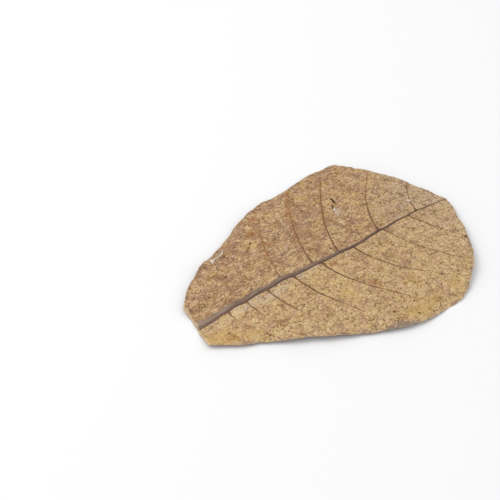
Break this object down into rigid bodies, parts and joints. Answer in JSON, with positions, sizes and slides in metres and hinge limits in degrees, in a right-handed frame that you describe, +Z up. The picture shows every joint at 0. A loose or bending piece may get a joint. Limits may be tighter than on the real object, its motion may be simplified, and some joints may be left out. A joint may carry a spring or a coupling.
{
  "type": "indian almond leaf",
  "caption": "Dried indian almond leaf, obovate, trimmed straight across its base and lying with its ribbed underside up, with a raised midrib and side veins.",
  "frame": {"origin": "the middle of the leaf's box in plan, on the surface that it lies on", "axes": "+X from the cut base to the tip, +Y towards the far half, left of the midrib seen from base to tip, and +Z up out of the ribbed underside"},
  "size_m": [0.1724, 0.1272, 0.0101],
  "materials": {
    "dry_leaf": "matt"
  },
  "bodies": {
    "root": {"leaf": "dry_leaf"}
  },
  "joints": []
}
